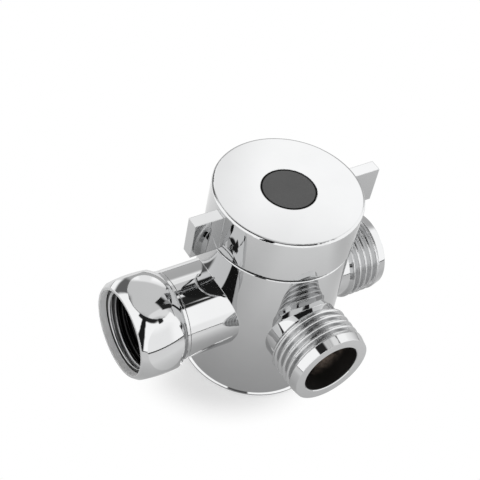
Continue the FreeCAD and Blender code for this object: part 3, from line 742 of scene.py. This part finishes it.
def azimuth_of(graph, x, y):
    """The direction of a point about the knob's axis, in radians: 0 is -Y and a quarter turn is +X."""
    return graph.math("ARCTAN2", x, graph.product(y, -1.0))


def card_mask(graph, azimuth, elevation, card):
    """1 in the directions that a card covers, and 0 outside."""
    soft = card.softness / 2
    away = graph.math("SUBTRACT", azimuth, card.azimuth)
    beside = graph.math("ABSOLUTE", graph.math("WRAP", away, HALF_TURN, -HALF_TURN))
    across = graph.step(beside, card.half_width + soft, card.half_width - soft)
    return graph.product(across, graph.band(elevation, card.low, card.high, soft))


def build_world():
    """A white tent with dark openings, drawn by direction. The camera itself sees plain white."""
    world = bpy.data.worlds.new("studio")
    bpy.context.scene.world = world
    world.use_nodes = True
    graph = Graph(world.node_tree)
    x, y, z = graph.parts(graph.node("ShaderNodeTexCoord").outputs["Generated"])
    azimuth = graph.product(azimuth_of(graph, x, y), math.degrees(1))
    elevation = graph.product(graph.math("ARCSINE", z), math.degrees(1))
    light = WALL_LIGHT
    for card in CARDS:
        light = graph.blend(card_mask(graph, azimuth, elevation, card), light, card.light)
    seen = graph.node("ShaderNodeLightPath").outputs["Is Camera Ray"]
    background = graph.node("ShaderNodeBackground")
    background.inputs["Color"].default_value = grey(1.0)
    graph.put(background.inputs["Strength"], graph.blend(seen, light, 1.0))
    output = graph.node("ShaderNodeOutputWorld")
    graph.put(output.inputs["Surface"], background.outputs[0])


def build_lamp():
    """A soft lamp behind on the right, which lights the table and the plastics but not the mirrors."""
    data = bpy.data.lights.new("lamp", "AREA")
    data.shape = "DISK"
    data.size = LAMP_SIZE
    data.energy = LAMP_POWER
    lamp = new_object("lamp", data)
    lamp.location = LAMP_PLACE
    lamp.rotation_euler = (-lamp.location).to_track_quat("-Z", "Y").to_euler()
    lamp.visible_glossy = False


def mirrored_floor(graph):
    """How bright the floor glows in the chrome: painted shadow near the part, and a painted white line round
    the base.

    The line has a painted dark gap on the camera's side and a painted grey line under it.
    """
    x, y, _ = graph.parts(graph.place())
    distance = graph.length(graph.place())
    pool = graph.node("ShaderNodeMapRange")
    graph.put(pool.inputs["Value"], distance)
    pool.inputs["From Max"].default_value = FLOOR_BRIGHT_AT
    pool.inputs["To Min"].default_value = FLOOR_NEAR_LIGHT
    pool.inputs["To Max"].default_value = FLOOR_FAR_LIGHT
    right = graph.blend(graph.step(x, *FLOOR_RIGHT), 1.0, FLOOR_RIGHT_SHARE)
    left = graph.blend(graph.step(x, *FLOOR_LEFT), 1.0, FLOOR_LEFT_SHARE)
    light = graph.product(pool.outputs["Result"], graph.product(right, left))
    gap = graph.band(azimuth_of(graph, x, y), *BASE_GAP, BASE_GAP_SOFT)
    line = graph.band(distance, *BASE_LINE, SOFT / 2)
    light = graph.blend(line, light, graph.blend(gap, BASE_LINE_LIGHT, BASE_GAP_LIGHT))
    under = graph.step(distance, BASE_LINE[0], BASE_LINE[0] - SOFT)
    return graph.blend(under, light, BASE_UNDER_LIGHT)


def seen_floor_share(graph):
    """How much of the floor that the camera sees is its own light: less near the part, for the shadow."""
    squeezed = graph.node("ShaderNodeMapping", vector_type="TEXTURE")
    graph.put(squeezed.inputs["Vector"], graph.place())
    squeezed.inputs["Location"].default_value = SHADOW_CENTRE
    squeezed.inputs["Scale"].default_value = (1 / SHADOW_SHRINK, 1, 1)
    away = graph.step(graph.length(squeezed.outputs[0]), *SHADOW_FADE)
    return graph.blend(away, FLOOR_SHARE, 1.0)


def floor_white():
    """The floor's white, partly its own light and partly lit."""
    material, graph = new_material("floor_white")
    shade = graph.node("ShaderNodeBsdfDiffuse")
    clouds = graph.noise(scale=30, detail=3)
    graph.put(shade.inputs["Color"], graph.blend_colour(clouds, grey(0.95), grey(0.94)))
    path = graph.node("ShaderNodeLightPath")
    mirrored = graph.math("MAXIMUM", path.outputs["Is Glossy Ray"], path.outputs["Is Transmission Ray"])
    glow = graph.node("ShaderNodeEmission")
    graph.put(glow.inputs["Strength"], graph.blend(mirrored, 1.0, mirrored_floor(graph)))
    seen = graph.product(path.outputs["Is Camera Ray"], seen_floor_share(graph))
    share = graph.math("ADD", seen, graph.product(mirrored, FLOOR_MIRROR_SHARE))
    mix = graph.node("ShaderNodeMixShader")
    graph.put(mix.inputs[0], share)
    graph.put(mix.inputs[1], shade.outputs[0])
    graph.put(mix.inputs[2], glow.outputs[0])
    output = graph.node("ShaderNodeOutputMaterial")
    graph.put(output.inputs["Surface"], mix.outputs[0])
    return material


def rim_painted_shade():
    """The table's edge, near-black as painted shade."""
    material, graph = new_material("floor_edge_painted_shade")
    # Painted shade: near-black, for the table's edge in shadow.
    colour = graph.blend_colour(graph.noise(scale=40), grey(0.01), grey(0.02))
    surface(graph, Base_Color=colour, Roughness=RIM_ROUGHNESS)
    return material


def build_floor():
    """A round white table with a thin dark edge of painted shade that only reflections show."""
    turns = [2 * math.pi * i / AROUND for i in range(AROUND)]
    low = [(FLOOR_RADIUS * math.cos(turn), FLOOR_RADIUS * math.sin(turn), 0) for turn in turns]
    high = [(x, y, RIM_HEIGHT) for x, y, _ in low]
    mesh = bpy.data.meshes.new("floor")
    mesh.from_pydata(low, [], [tuple(range(AROUND))])
    mesh.materials.append(floor_white())
    floor = new_object("floor", mesh)

    rim_mesh = bpy.data.meshes.new("floor_edge")
    rim_mesh.from_pydata(low + high, [], ring_quads(0, AROUND))
    rim_mesh.materials.append(rim_painted_shade())
    rim = new_object("floor_edge", rim_mesh)
    rim.visible_camera = False


make_camera()
build_world()
build_lamp()
build_floor()
dress_nodes()
thread_body()
thread_nut()

bpy.context.scene.view_settings.view_transform = "Standard"
